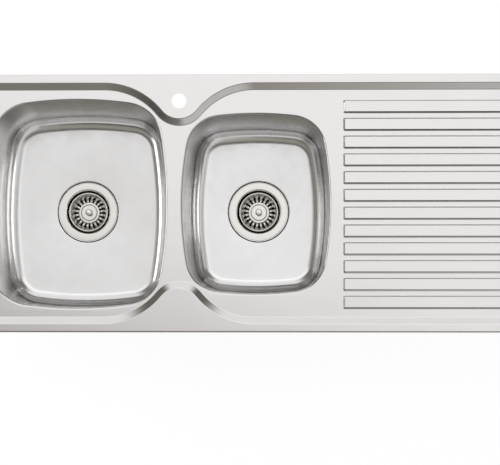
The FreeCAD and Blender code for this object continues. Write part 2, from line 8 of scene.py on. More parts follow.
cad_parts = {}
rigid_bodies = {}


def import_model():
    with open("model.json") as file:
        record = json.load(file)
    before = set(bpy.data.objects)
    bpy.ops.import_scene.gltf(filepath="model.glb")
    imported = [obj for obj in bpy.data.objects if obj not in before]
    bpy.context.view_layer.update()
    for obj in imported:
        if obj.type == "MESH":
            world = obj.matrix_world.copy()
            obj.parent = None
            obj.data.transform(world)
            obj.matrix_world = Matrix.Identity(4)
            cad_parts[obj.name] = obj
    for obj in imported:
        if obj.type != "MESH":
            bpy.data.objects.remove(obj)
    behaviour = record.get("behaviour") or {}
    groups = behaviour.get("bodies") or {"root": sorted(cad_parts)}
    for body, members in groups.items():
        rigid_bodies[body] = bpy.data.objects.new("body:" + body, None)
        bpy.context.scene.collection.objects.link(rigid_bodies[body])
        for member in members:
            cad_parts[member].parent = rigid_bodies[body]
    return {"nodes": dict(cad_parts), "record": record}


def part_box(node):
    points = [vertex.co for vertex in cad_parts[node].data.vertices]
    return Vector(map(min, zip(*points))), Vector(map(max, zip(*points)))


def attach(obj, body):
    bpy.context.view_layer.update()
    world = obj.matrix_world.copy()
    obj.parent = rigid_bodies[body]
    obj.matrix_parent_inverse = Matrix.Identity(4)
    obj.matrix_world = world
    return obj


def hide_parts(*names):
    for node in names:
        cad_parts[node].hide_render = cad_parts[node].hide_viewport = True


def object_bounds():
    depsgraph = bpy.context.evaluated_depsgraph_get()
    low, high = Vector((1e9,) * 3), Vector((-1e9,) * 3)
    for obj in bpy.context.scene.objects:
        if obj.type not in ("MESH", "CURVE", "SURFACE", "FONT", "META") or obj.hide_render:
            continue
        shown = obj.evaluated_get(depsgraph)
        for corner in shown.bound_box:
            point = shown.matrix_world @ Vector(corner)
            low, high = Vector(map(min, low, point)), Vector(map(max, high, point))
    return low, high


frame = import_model()
cad_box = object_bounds()

# Sizes are in millimetres and become metres when a mesh is made
MM = 0.001
WELD = 1e-6
SHARP = math.radians(40)


def box_mm(node):
    low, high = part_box(node)
    return low / MM, high / MM


# Pressed top, measured from its own solid
TOP_LOW, TOP_HIGH = box_mm("sink_top")
HALF_LENGTH = TOP_HIGH.x
HALF_DEPTH = TOP_HIGH.y
BORDER_LEVEL = TOP_HIGH.z
COLLAR_LEVEL = TOP_LOW.z
SHEET = 0.8
CORNER_RADIUS = 15.0
LIP_BEND = 3.0
BORDER_WIDTH = 15.5
STEP_WIDTH = 14.0
STEP_DROP = 6.5
STEP_BEND_SHARE = 0.44
STEP_CORNER = 42.0
DECK_LEVEL = BORDER_LEVEL - STEP_DROP
TAP_X = -195.42
TAP_Y = 190.0
TAP_RADIUS = 14.0
TONGUE_REACH = 66.6
TONGUE_TIP = 39.96
TONGUE_SHOULDER = 139.06

# Drainer ribs, pressed up from the deck
RIB_COUNT = 12
RIB_PITCH = 33.0106
RIB_WIDTH = 25.5832
RIB_HEIGHT = 3.0
RIB_WALL = 3.7
RIB_BEND_SHARE = 0.46
RIB_CORNER = 3.9
RIB_START = 109.06
RIB_END = HALF_LENGTH - BORDER_WIDTH - STEP_WIDTH - 15.5
RIB_FRONT = BORDER_WIDTH + STEP_WIDTH + 14.3 - HALF_DEPTH

# Bowls: middle, half width, half depth, radius of the side, end and corner arcs
BOWLS = {
    "main": {"middle": (-385.56, -1.3), "half": (165.84, 193.2), "side": 799.836, "end": 699.747, "corner": 69.984},
    "small": {"middle": (-52.98, -1.3), "half": (137.04, 166.709), "side": 629.819, "end": 610.151, "corner": 63.998},
}
RIM_ROLL = 3.5
BOWL_DRAFT = math.radians(3.5)
BOWL_FOOT = 26.0
FLOOR_LEVEL = DECK_LEVEL - 170.0

# Waste fittings, measured from the bowl floor; pairs are width or radius and height, threads depth and pitch
RECESS_RADIUS = 57.0
RECESS_BEND = 4.0
RECESS_BEND_SHARE = 0.9
RECESS_DEPTH = 3.0
FLOOR_HOLE = 44.5
FLANGE_RADIUS = 56.0
FLANGE_LEVEL = -0.6
FLANGE_ROLL = 3.0
THROAT = 41.5
CUP_SHEET = 1.0
CUP_FLOOR = -40.6
CUP_CORNER = 5.0
CUP_HOLES = 8
CUP_HOLE_RADIUS = 8.0
CUP_HOLE_CIRCLE = 26.0
SEAL_WIDTH = 9.0
SEAL_HEIGHT = 1.4
BODY_SEAL_HEIGHT = 3.0
BODY_TOP = -6.8
BODY_RADIUS = 45.5
BODY_WALL = 3.4
BODY_FLANGE = 58.0
BODY_CONE_TOP = BODY_TOP - 52.0
BODY_CONE_FOOT = BODY_CONE_TOP - 16.0
OUTLET_LEVEL = BODY_CONE_FOOT - 6.0
OUTLET_LENGTH = 32.0
OUTLET_RADIUS = 23.9
OUTLET_BORE = OUTLET_RADIUS - BODY_WALL
OUTLET_THREAD = (1.1, 2.309)
BOSS_RADIUS = 8.5
BOSS_TOP = CUP_FLOOR - CUP_SHEET
BOSS_HEIGHT = 17.0
BOSS_POCKET = 5.05
WEB_COUNT = 3
WEB_THICKNESS = 3.0
BOLT_RADIUS = 3.0
BOLT_LENGTH = 16.0
BOLT_HEAD = (6.0, 3.2)
BOLT_THREAD = (0.4, 1.0)
BASKET_SHEET = 0.8
BASKET_LEVEL = FLANGE_LEVEL - 5.0
BASKET_RIM = 39.0
BASKET_BEAD = (4.8, 2.4)
BASKET_FLOOR = (27.5, BASKET_LEVEL - 20.0)
TROUGH_RADIUS = 21.8
HUB_RADIUS = 20.2
HUB_LEVEL = BASKET_LEVEL - 14.0
CROWN_RADIUS = 14.3
GROOVE = (2.2, 1.4)
CROWN_LEVEL = HUB_LEVEL + 1.0
SLOT_COUNT = 20
SLOT_WIDTH = 3.8
SLOT_INNER = 22.0
SLOT_TOP = BASKET_FLOOR[1] + 2.4
KNOB_TOP = CROWN_LEVEL + 13.0
KNOB_UNDER = KNOB_TOP - 6.0
KNOB_RADIUS = 6.4
KNOB_NECK = 4.6
STEM_RADIUS = 3.0
STEM_HOLE = 3.05
STOPPER_FOOT = CUP_FLOOR + 2.9
STOPPER_TOP = STOPPER_FOOT + 7.0
STOPPER_RADIUS = 38.5
STOPPER_HUB = 13.0
STOPPER_SHEET = 2.6
STEM_FOOT = STOPPER_TOP - STOPPER_SHEET
STEM_NUT = (5.5, 4.0)

# Soft pieces under the top
PAD_SHEET = 3.0
PAD_MARGIN = 4.0
FOAM_EDGE = LIP_BEND + 0.4
FOAM_WIDTH = 8.0

# Rails and clips, measured from the underside of the deck; the rail is its width, height and sheet
UNDERSIDE = DECK_LEVEL - SHEET
RAIL = (11.0, 9.0, 1.2)
RAIL_SLOT = 6.0
NUT_LEVEL = -7.5
NUT_SIZE = (8.0, 4.0)
SCREW_RADIUS = 2.5
SCREW_LENGTH = 42.0
HEAD_LEVEL = NUT_LEVEL + NUT_SIZE[1] - SCREW_LENGTH
SCREW_HEAD = (4.6, 3.5)
SCREW_THREAD = (0.32, 0.9)
EYE_RADIUS = 2.55
ARM_WIDTH = 14.0
ARM_SHEET = 2.5
ARM_REACH = 38.0
ARM_TOE = 29.0
ARM_RAMP = 23.0
ARM_LIFT = 7.0
ARM_LEVEL = HEAD_LEVEL + 0.3


# Small tools for shapes

def bend(centre, radius, first, last, steps=10):
    """Points along an arc of a cross-section, angles in degrees."""
    points = []
    for index in range(steps + 1):
        angle = math.radians(first + (last - first) * index / steps)
        points.append((centre[0] + radius * math.cos(angle), centre[1] + radius * math.sin(angle)))
    return points


def outline(arcs):
    """Points of a closed plan outline with their inward directions; straights join the arcs."""
    points = []
    for centre, radius, first, turn in arcs:
        steps = max(4, math.ceil(abs(turn) / 4), math.ceil(radius * abs(math.radians(turn)) / 14))
        side = math.copysign(1, turn)
        for index in range(steps + 1):
            angle = math.radians(first + turn * index / steps)
            way = Vector((math.cos(angle), math.sin(angle)))
            spot = Vector(centre) + way * radius
            if not points or (spot - points[-1][0]).length > WELD:
                points.append((spot, -way * side))
    if (points[0][0] - points[-1][0]).length < WELD / MM:
        points.pop()
    return points


def loop(points, inward, level):
    return [(*(spot + way * inward), level) for spot, way in points]


def circle(centre, radius, level, steps=96):
    angles = [2 * math.pi * index / steps for index in range(steps)]
    return [(centre[0] + radius * math.cos(a), centre[1] + radius * math.sin(a), level) for a in angles]


def rounded_rectangle(x0, y0, x1, y1, radius):
    return [
        ((x1 - radius, y0 + radius), radius, -90, 90),
        ((x1 - radius, y1 - radius), radius, 0, 90),
        ((x0 + radius, y1 - radius), radius, 90, 90),
        ((x0 + radius, y0 + radius), radius, 180, 90),
    ]


def strip(bm, loops, closed=False):
    """Quads between one closed loop of points and the next."""
    rows = [[bm.verts.new(point) for point in points] for points in loops]
    for row, after in zip(rows, rows[1:] + rows[:1] if closed else rows[1:]):
        for index in range(len(row)):
            bm.faces.new((row[index - 1], row[index], after[index], after[index - 1]))


def fill(bm, loops):
    """A flat face inside the first loop and outside the others."""
    verts = [bm.verts.new(point) for points in loops for point in points]
    for corners in tessellate_polygon([[Vector(point) for point in points] for points in loops]):
        if len({*corners}) == 3:
            bm.faces.new([verts[index] for index in corners])


def rounded_profile(corners, closed=True, steps=6):
    """An outline of (radius, height, rounding) points, with each corner rounded."""
    points = []
    for before, here, after in zip(corners[-1:] + corners[:-1], corners, corners[1:] + corners[:1]):
        corner = Vector(here[:2])
        if here[2] == 0 or not closed and here in (corners[0], corners[-1]):
            points.append(tuple(corner))
            continue
        back, on = (Vector(before[:2]) - corner).normalized(), (Vector(after[:2]) - corner).normalized()
        half = back.angle(on) / 2
        centre = corner + (back + on).normalized() * (here[2] / math.sin(half))
        start = corner + back * (here[2] / math.tan(half)) - centre
        end = corner + on * (here[2] / math.tan(half)) - centre
        first, last = math.atan2(start.y, start.x), math.atan2(end.y, end.x)
        turn = (last - first + math.pi) % (2 * math.pi) - math.pi
        points += bend(centre, here[2], math.degrees(first), math.degrees(first + turn), steps)
    return points


def lathe(bm, profile, centre, level, steps=96, closed=True):
    strip(bm, [circle(centre, radius, level + height, steps) for radius, height in profile], closed)


def plate(bm, loops, drop):
    """A plate from its outline and its holes, with upright walls."""
    under = [[(x, y, z - drop) for x, y, z in points] for points in loops]
    fill(bm, loops)
    fill(bm, under)
    for upper, lower in zip(loops, under):
        strip(bm, [upper, lower])


def thread_rows(centre, radius, thread, bottom, top, steps):
    """Loops of points up a screw thread of a depth and a pitch, whose ridge climbs one pitch in a turn."""
    depth, pitch = thread
    rows = math.ceil((top - bottom) / pitch * 6)
    loops = []
    for row in range(rows + 1):
        level = bottom + (top - bottom) * row / rows
        points = []
        for step in range(steps):
            ridge = abs(2 * ((level / pitch - step / steps) % 1) - 1)
            reach = radius - depth * ridge
            angle = 2 * math.pi * step / steps
            points.append((centre[0] + reach * math.cos(angle), centre[1] + reach * math.sin(angle), level))
        loops.append(points)
    return loops


def mesh_object(name, bm, material, open_sheet=False):
    """A finished mesh in metres: welded, smooth between its sharp edges, and facing outwards or up."""
    bmesh.ops.remove_doubles(bm, verts=bm.verts, dist=WELD / MM)
    bmesh.ops.recalc_face_normals(bm, faces=bm.faces)
    if open_sheet and sum(face.normal.z * face.calc_area() for face in bm.faces) < 0:
        bmesh.ops.reverse_faces(bm, faces=bm.faces)
    bmesh.ops.scale(bm, vec=(MM, MM, MM), verts=bm.verts)
    mesh = bpy.data.meshes.new(name)
    bm.to_mesh(mesh)
    bm.free()
    mesh.shade_smooth()
    mesh.set_sharp_from_angle(angle=SHARP)
    mesh.materials.append(material)
    return link(name, mesh)


def link(name, mesh):
    made = bpy.data.objects.new(name, mesh)
    bpy.context.scene.collection.objects.link(made)
    return made


def dress(made, body, nodes, rounding=0.0):
    """The piece rides on its body in place of its solids; its edges may be rounded a little."""
    if rounding:
        bevel = made.modifiers.new("rounded_edges", "BEVEL")
        bevel.width = rounding * MM
        bevel.segments = 2
        bevel.angle_limit = SHARP
        bevel.use_clamp_overlap = True
    made.modifiers.new("even_shading", "WEIGHTED_NORMAL").keep_sharp = True
    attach(made, body)
    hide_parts(*nodes)
    return made


def add(tree, kind, inputs=None, **settings):
    """One node with its settings, and its inputs as values or links."""
    made = tree.nodes.new(kind)
    for name, value in settings.items():
        setattr(made, name, value)
    for name, value in (inputs or {}).items():
        if isinstance(value, bpy.types.NodeSocket):
            tree.links.new(value, made.inputs[name])
        else:
            made.inputs[name].default_value = value
    return made


def linear(code):
    """An sRGB hex colour as linear light."""
    channels = [int(code[index:index + 2], 16) / 255 for index in (1, 3, 5)]
    return [c / 12.92 if c <= 0.04045 else ((c + 0.055) / 1.055) ** 2.4 for c in channels] + [1]


# Copies in a row or a ring, made by Geometry Nodes

def copies_tree():
    tree = bpy.data.node_groups.new("copies_in_a_row_or_ring", "GeometryNodeTree")
    sockets = (
        ("Shape", "NodeSocketGeometry"), ("Count", "NodeSocketInt"), ("Step", "NodeSocketVector"),
        ("Turn", "NodeSocketFloat"), ("Finish", "NodeSocketMaterial"),
    )
    for name, kind in sockets:
        tree.interface.new_socket(name, in_out="INPUT", socket_type=kind)
    tree.interface.new_socket("Result", in_out="OUTPUT", socket_type="NodeSocketGeometry")
    given = add(tree, "NodeGroupInput").outputs
    index = add(tree, "GeometryNodeInputIndex").outputs[0]
    place = add(tree, "ShaderNodeVectorMath", {0: given["Step"], "Scale": index}, operation="SCALE")
    angle = add(tree, "ShaderNodeMath", {0: index, 1: given["Turn"]}, operation="MULTIPLY")
    turn = add(tree, "ShaderNodeCombineXYZ", {"Z": angle.outputs[0]})
    spots = add(tree, "GeometryNodePoints", {"Count": given["Count"], "Position": place.outputs[0]})
    spread = add(tree, "GeometryNodeInstanceOnPoints", {
        "Points": spots.outputs[0], "Instance": given["Shape"], "Rotation": turn.outputs[0],
    })
    real = add(tree, "GeometryNodeRealizeInstances", {0: spread.outputs[0]})
    welded = add(tree, "GeometryNodeMergeByDistance", {0: real.outputs[0], "Distance": WELD})
    finish = add(tree, "GeometryNodeSetMaterial", {0: welded.outputs[0], "Material": given["Finish"]})
    add(tree, "NodeGroupOutput", {0: finish.outputs[0]})
    return tree


COPIES = copies_tree()


def copies(first, count, step, turn):
    """The mesh of a row or ring of copies of an object, which is used up."""
    modifier = first.modifiers.new("copies", "NODES")
    modifier.node_group = COPIES
    values = {"Count": count, "Step": step, "Turn": turn, "Finish": first.data.materials[0]}
    for item in COPIES.interface.items_tree:
        if item.name in values:
            modifier[item.identifier] = values[item.name]
    made = bpy.data.meshes.new_from_object(first.evaluated_get(bpy.context.evaluated_depsgraph_get()))
    bpy.data.objects.remove(first)
    return made


# Finishes

def new_material(name):
    material = bpy.data.materials.new(name)
    material.use_nodes = True
    material.node_tree.nodes.clear()
    return material, material.node_tree


CLOUD_SIZE = 71.43


def worked_metal(name, colour, roughness, spread, grain, detail, lift, wall_roughness=0.0, fall=0.0):
    """Rolled, drawn, turned or plated metal: a grain that streaks the sheen, over slow clouds of tone.

    The grain's size along X, Y and Z is in millimetres, coarser than the real scratches, so that it shows. Upright
    walls can have a roughness of their own, and a bowl's floor can fall a little to its waste."""
    material, tree = new_material(name)
    place = add(tree, "ShaderNodeTexCoord").outputs["Object"]
    stretch = [1 / (size * MM) for size in grain]
    streaks = add(tree, "ShaderNodeMapping", {"Vector": place, "Scale": stretch}).outputs[0]
    fine = add(tree, "ShaderNodeTexNoise", {"Vector": streaks, "Scale": 1.0, "Detail": detail})
    slow = add(tree, "ShaderNodeTexNoise", {"Vector": place, "Scale": 1 / (CLOUD_SIZE * MM), "Detail": 2.0})
    mixed = add(tree, "ShaderNodeMath", {0: fine.outputs[0], 1: slow.outputs[0]}, operation="ADD").outputs[0]

    def streaked(low, high):
        return add(tree, "ShaderNodeMapRange", {
            "Value": mixed, "From Min": 0.6, "From Max": 1.4, "To Min": low, "To Max": high,
        }).outputs[0]

    level = roughness
    if wall_roughness:
        normal = add(tree, "ShaderNodeSeparateXYZ", {0: add(tree, "ShaderNodeNewGeometry").outputs["Normal"]})
        flat = add(tree, "ShaderNodeMath", {0: normal.outputs["Z"]}, operation="ABSOLUTE").outputs[0]
        level = add(tree, "ShaderNodeMapRange", {
            "Value": flat, "From Min": 0.2, "From Max": 0.95, "To Min": wall_roughness, "To Max": roughness,
        }).outputs[0]
    rough = add(tree, "ShaderNodeMath", {0: level, 1: streaked(-spread, spread)}, operation="ADD")
    tone = streaked(1 - spread, 1.0)
    shade = add(tree, "ShaderNodeVectorMath", {0: linear(colour)[:3], "Scale": tone}, operation="SCALE")
    bump = add(tree, "ShaderNodeBump", {"Height": fine.outputs[0], "Strength": 1.0, "Distance": lift * MM})
    if fall:
        wastes = [Vector((*bowl["middle"], FLOOR_LEVEL)) * MM for bowl in BOWLS.values()]
        reach = [add(tree, "ShaderNodeVectorMath", {0: place, 1: waste}, operation="DISTANCE").outputs["Value"]
                 for waste in wastes]
        near = add(tree, "ShaderNodeMath", dict(enumerate(reach)), operation="MINIMUM").outputs[0]
        bump = add(tree, "ShaderNodeBump", {"Height": near, "Strength": 1.0, "Distance": fall})
    shader = add(tree, "ShaderNodeBsdfPrincipled", {
        "Base Color": shade.outputs[0], "Metallic": 1.0, "Roughness": rough.outputs[0], "Normal": bump.outputs[0],
    })
    add(tree, "ShaderNodeOutputMaterial", {"Surface": shader.outputs[0]})
    return material


def moulded(name, colour, roughness, texture, lift):
    """Rubber, plastic, foam or felt: an even skin with a texture of a size and a lift in millimetres."""
    material, tree = new_material(name)
    place = add(tree, "ShaderNodeTexCoord").outputs["Object"]
    skin = add(tree, "ShaderNodeTexNoise", {"Vector": place, "Scale": 1 / (texture * MM), "Detail": 3.0})
    rough = add(tree, "ShaderNodeMapRange", {
        "Value": skin.outputs[0], "To Min": roughness - 0.08, "To Max": roughness + 0.08,
    })
    bump = add(tree, "ShaderNodeBump", {"Height": skin.outputs[0], "Strength": 1.0, "Distance": lift * MM})
    shader = add(tree, "ShaderNodeBsdfPrincipled", {
        "Base Color": linear(colour), "Roughness": rough.outputs[0], "Normal": bump.outputs[0],
    })
    add(tree, "ShaderNodeOutputMaterial", {"Surface": shader.outputs[0]})
    return material


# Satin stainless sheet: pale and even, with faint long streaks, and dark only where it bends
SHEET_STEEL = worked_metal("satin_stainless_sheet", "#dedbdb", 0.14, 0.05, (420, 5, 5), 3.0, 0.002)
# Deep-drawn stainless: a soft glow on the floor, and upright smears of light and dark on the walls
BOWL_STEEL = worked_metal("drawn_stainless_bowl", "#e6e5e5", 0.22, 0.04, (16, 16, 500), 1.0, 0.0, 0.19, 0.018)
# Bright stainless of the strainers: a little warmer, with crisp lights and darks
BRIGHT_STEEL = worked_metal("bright_drawn_stainless", "#e0deda", 0.16, 0.04, (2, 2, 2), 3.0, 0.002)
# Rolled steel: plain grey and dull, with short streaks
RAIL_STEEL = worked_metal("rolled_steel_channel", "#b9b9b8", 0.4, 0.08, (60, 1.5, 1.5), 3.0, 0.006)
# Bright zinc plate: a cool grey with an uneven sheen
ZINC_STEEL = worked_metal("bright_zinc_plate", "#c3c6c9", 0.32, 0.08, (4, 4, 4), 3.0, 0.006)
# Turned brass: yellow, with fine rings from the tool
BRASS = worked_metal("turned_brass", "#c9a45a", 0.3, 0.06, (3, 3, 0.4), 3.0, 0.004)
# Moulded rubber: almost black, with a soft dull shine
BLACK_RUBBER = moulded("moulded_black_rubber", "#1d1d1d", 0.6, 0.8, 0.02)
# Moulded polypropylene: off-white, smooth and slightly waxy
WHITE_PLASTIC = moulded("moulded_white_polypropylene", "#d9d9d6", 0.42, 1.2, 0.01)
# Closed-cell foam: charcoal, matt, with small pores
FOAM = moulded("closed_cell_foam", "#2b2b2d", 0.85, 0.7, 0.15)
# Bitumen felt: dark grey, matt and coarse
BITUMEN = moulded("pressed_bitumen_felt", "#353534", 0.8, 2.0, 0.25)


# Pressed top

def step_arcs():
    """Upper edge of the step: a rounded rectangle with a tongue let in at the back and the front."""
    x1, y1 = HALF_LENGTH - BORDER_WIDTH, HALF_DEPTH - BORDER_WIDTH
    span = TONGUE_SHOULDER + TONGUE_TIP
    height = span - TONGUE_REACH
    across = math.sqrt(span ** 2 - height ** 2)
    lean = math.degrees(math.atan2(across, height))
    shoulder_y = y1 - TONGUE_SHOULDER
    arcs = []
    for side, turn in ((-1, 180), (1, 0)):
        corner_y = side * (y1 - STEP_CORNER)
        arcs += [
            ((side * (x1 - STEP_CORNER), corner_y), STEP_CORNER, turn, 90),
            ((TAP_X + side * across, side * shoulder_y), TONGUE_SHOULDER, turn + 90, lean),
            ((TAP_X, side * (shoulder_y + height)), TONGUE_TIP, turn - 90 + lean, -2 * lean),
            ((TAP_X - side * across, side * shoulder_y), TONGUE_SHOULDER, turn + 90 - lean, lean),
            ((-side * (x1 - STEP_CORNER), corner_y), STEP_CORNER, turn + 90, 90),
        ]
    return arcs


def bowl_arcs(bowl):
    """Rim of a bowl: four bulging arcs joined by corner arcs, each touching the next."""
    side_x, end_y = bowl["half"][0] - bowl["side"], bowl["half"][1] - bowl["end"]
    corner = bowl["corner"]
    side_reach, end_reach = bowl["side"] - corner, bowl["end"] - corner
    apart = math.hypot(side_x, end_y)
    along = (side_reach ** 2 - end_reach ** 2 + apart ** 2) / (2 * apart)
    aside = math.sqrt(side_reach ** 2 - along ** 2)
    unit = (-side_x / apart, end_y / apart)
    corner_x, corner_y = side_x + along * unit[0] - aside * unit[1], along * unit[1] + aside * unit[0]
    side_lean = math.degrees(math.atan2(corner_y, corner_x - side_x))
    end_lean = math.degrees(math.atan2(corner_y - end_y, corner_x))
    x, y = bowl["middle"]
    arcs = []
    for turn, way in ((0, 1), (180, -1)):
        back = y + way * corner_y
        arcs += [
            ((x + way * side_x, y), bowl["side"], turn - side_lean, 2 * side_lean),
            ((x + way * corner_x, back), corner, turn + side_lean, end_lean - side_lean),
            ((x, y + way * end_y), bowl["end"], turn + end_lean, 180 - 2 * end_lean),
            ((x - way * corner_x, back), corner, turn + 180 - end_lean, end_lean - side_lean),
        ]
    return arcs


def s_bend(width, first, last, bend_share, steps=9):
    """Upper and under line of a sheet that goes from one level to another by a bend, a flank and a bend."""
    rise = abs(last - first)
    spread = width ** 2 + rise ** 2
    radius = bend_share * spread / (4 * rise)
    lean = math.degrees(2 * math.atan2(rise, width + math.sqrt((1 - bend_share) * spread)))
    fall = math.copysign(1, first - last)
    lines = []
    for sheet in (0, SHEET):
        near = bend((0, first - fall * radius), radius - fall * sheet, fall * 90, fall * (90 - lean), steps)
        far = bend((width, last + fall * radius), radius + fall * sheet, -fall * (90 + lean), -fall * 90, steps)
        lines.append(near + far)
    return lines


def rim_path():
    """Rolled rim of a bowl: over from the deck, down to the weld and back up on the outside."""
    centre = (-RIM_ROLL, DECK_LEVEL - RIM_ROLL)
    draft = math.degrees(BOWL_DRAFT)
    drop = centre[1] + RIM_ROLL * math.sin(BOWL_DRAFT) - COLLAR_LEVEL
    foot = centre[0] + RIM_ROLL * math.cos(BOWL_DRAFT) + drop * math.tan(BOWL_DRAFT)
    inner = bend(centre, RIM_ROLL, 90, draft) + [(foot, COLLAR_LEVEL)]
    outer = bend(centre, RIM_ROLL - SHEET, draft, 90)
    return inner + [(foot - SHEET / math.cos(BOWL_DRAFT), COLLAR_LEVEL)] + outer, foot


def make_ribs():
    """The mesh of all drainer ribs: one pressed rib, copied across the drainer."""
    base = outline(rounded_rectangle(RIB_START, RIB_FRONT, RIB_END, RIB_FRONT + RIB_WIDTH, RIB_CORNER))
    bm = bmesh.new()
    for line in s_bend(RIB_WALL, DECK_LEVEL, DECK_LEVEL + RIB_HEIGHT, RIB_BEND_SHARE):
        loops = [loop(base, u, z) for u, z in line]
        strip(bm, loops)
        fill(bm, loops[-1:])
    first = mesh_object("rib", bm, SHEET_STEEL)
    return copies(first, RIB_COUNT, (0, RIB_PITCH * MM, 0), 0.0)


def make_sink_top():
    """The pressing: lip, border, step, wet deck, ribs and rolled rims in one closed sheet."""
    bm = bmesh.new()
    ribs = make_ribs()
    bm.from_mesh(ribs)
    bmesh.ops.scale(bm, vec=(1 / MM, 1 / MM, 1 / MM), verts=bm.verts)
    outer = outline(rounded_rectangle(-HALF_LENGTH, -HALF_DEPTH, HALF_LENGTH, HALF_DEPTH, CORNER_RADIUS))
    step = outline(step_arcs())
    rims = [outline(bowl_arcs(bowl)) for bowl in BOWLS.values()]
    hub = (LIP_BEND, BORDER_LEVEL - LIP_BEND)
    lip = bend(hub, LIP_BEND, 90, 180) + [(0, 0), (SHEET, 0)] + bend(hub, LIP_BEND - SHEET, 180, 90)
    strip(bm, [loop(outer, u, z) for u, z in lip])
    for line in s_bend(STEP_WIDTH, BORDER_LEVEL, DECK_LEVEL, STEP_BEND_SHARE):
        strip(bm, [loop(step, u, z) for u, z in line])
    for rim in rims:
        strip(bm, [loop(rim, u, z) for u, z in rim_path()[0]])
    holes = [circle((TAP_X, TAP_Y), TAP_RADIUS, level, 64) for level in (BORDER_LEVEL, BORDER_LEVEL - SHEET)]
    strip(bm, holes)
    for hole, drop in zip(holes, (0, SHEET)):
        border, deck = BORDER_LEVEL - drop, DECK_LEVEL - drop
        fill(bm, [loop(outer, LIP_BEND, border), loop(step, 0, border), hole])
        ends = []
        for index in range(RIB_COUNT):
            y = RIB_FRONT + index * RIB_PITCH
            ends.append(outline(rounded_rectangle(RIB_START, y, RIB_END, y + RIB_WIDTH, RIB_CORNER)))
        fill(bm, [loop(step, STEP_WIDTH, deck)] + [loop(rim, -RIM_ROLL, deck) for rim in rims]
             + [loop(end, 0, deck) for end in ends])
    top = mesh_object("pressed_top", bm, SHEET_STEEL)
    return dress(top, "sink", ["sink_top"])


def bowl_foot():
    """Centre of the foot's bend, as distance in from the rim and height."""
    fall = COLLAR_LEVEL - FLOOR_LEVEL - BOWL_FOOT * (1 - math.sin(BOWL_DRAFT))
    across = rim_path()[1] + fall * math.tan(BOWL_DRAFT) + BOWL_FOOT * math.cos(BOWL_DRAFT)
    return across, FLOOR_LEVEL + BOWL_FOOT


def make_bowl(name, bowl):
    """A drawn bowl as one closed sheet: down the inside to the waste hole, and back up the outside."""
    rim = outline(bowl_arcs(bowl))
    centre = Vector(bowl["middle"])
    start = rim_path()[1]
    hub = bowl_foot()
    draft = math.degrees(BOWL_DRAFT)
    ways = [(spot + way * hub[0] - centre).normalized() for spot, way in rim]

    def ring(radius, level):
        return [(*(centre + way * radius), level) for way in ways]

    skins = []
    recess = s_bend(RECESS_BEND, FLOOR_LEVEL, FLOOR_LEVEL - RECESS_DEPTH, RECESS_BEND_SHARE, 5)
    for sheet, line in zip((0, SHEET), recess):
        top = [(start - sheet / math.cos(BOWL_DRAFT), COLLAR_LEVEL)]
        foot = bend(hub, BOWL_FOOT + sheet, 180 + draft, 270, 14)
        wall = [(top[0][0] + (foot[0][0] - top[0][0]) * share, top[0][1] + (foot[0][1] - top[0][1]) * share)
                for share in (0, 0.2, 0.4, 0.6, 0.8)]
        loops = [loop(rim, u, z) for u, z in wall + foot]
        edge = ring(RECESS_RADIUS + RECESS_BEND, FLOOR_LEVEL - sheet)
        for share in (0.15, 0.3, 0.45, 0.6, 0.75, 0.9):
            loops.append([Vector(a).lerp(Vector(b), share) for a, b in zip(loops[len(wall + foot) - 1], edge)])
        loops += [ring(RECESS_RADIUS + RECESS_BEND - u, z) for u, z in line]
        loops.append(ring(FLOOR_HOLE, line[-1][1]))
        skins.append(loops)
    bm = bmesh.new()
    strip(bm, skins[0] + skins[1][::-1], closed=True)
    made = mesh_object(name + "_drawn_bowl", bm, BOWL_STEEL)
    return dress(made, "sink", [name + "_bowl"])


def make_pad(name, bowl):
    """Sound-deadening felt stuck under a bowl's floor, with soft edges."""
    rim = outline(bowl_arcs(bowl))
    edge = bowl_foot()[0] + PAD_MARGIN
    hole = RECESS_RADIUS + RECESS_BEND + PAD_MARGIN
    top, bottom = FLOOR_LEVEL - SHEET, FLOOR_LEVEL - SHEET - PAD_SHEET
    side = [(0, top)] + bend((1, bottom + 1), 1, 180, 270, 4)
    bm = bmesh.new()
    strip(bm, [loop(rim, edge + u, z) for u, z in side])
    strip(bm, [circle(bowl["middle"], hole + u, z) for u, z in side])
    fill(bm, [loop(rim, edge, top), circle(bowl["middle"], hole, top)])
    fill(bm, [loop(rim, edge + 1, bottom), circle(bowl["middle"], hole + 1, bottom)])
    made = mesh_object(name + "_felt_pad", bm, BITUMEN)
    dress(made, "sink", [name + "_sound_pad"])


def make_foam():
    """Foam strip stuck under the border, that the rim rests on."""
    outer = outline(rounded_rectangle(-HALF_LENGTH, -HALF_DEPTH, HALF_LENGTH, HALF_DEPTH, CORNER_RADIUS))
    top, far = BORDER_LEVEL - SHEET, FOAM_EDGE + FOAM_WIDTH
    section = rounded_profile([(FOAM_EDGE, 0, 0.8), (far, 0, 0.8), (far, top, 0.1), (FOAM_EDGE, top, 0.1)])
    bm = bmesh.new()
    strip(bm, [loop(outer, u, z) for u, z in section], closed=True)
    dress(mesh_object("rim_foam_strip", bm, FOAM), "sink", ["edge_seal"])


# Waste fittings

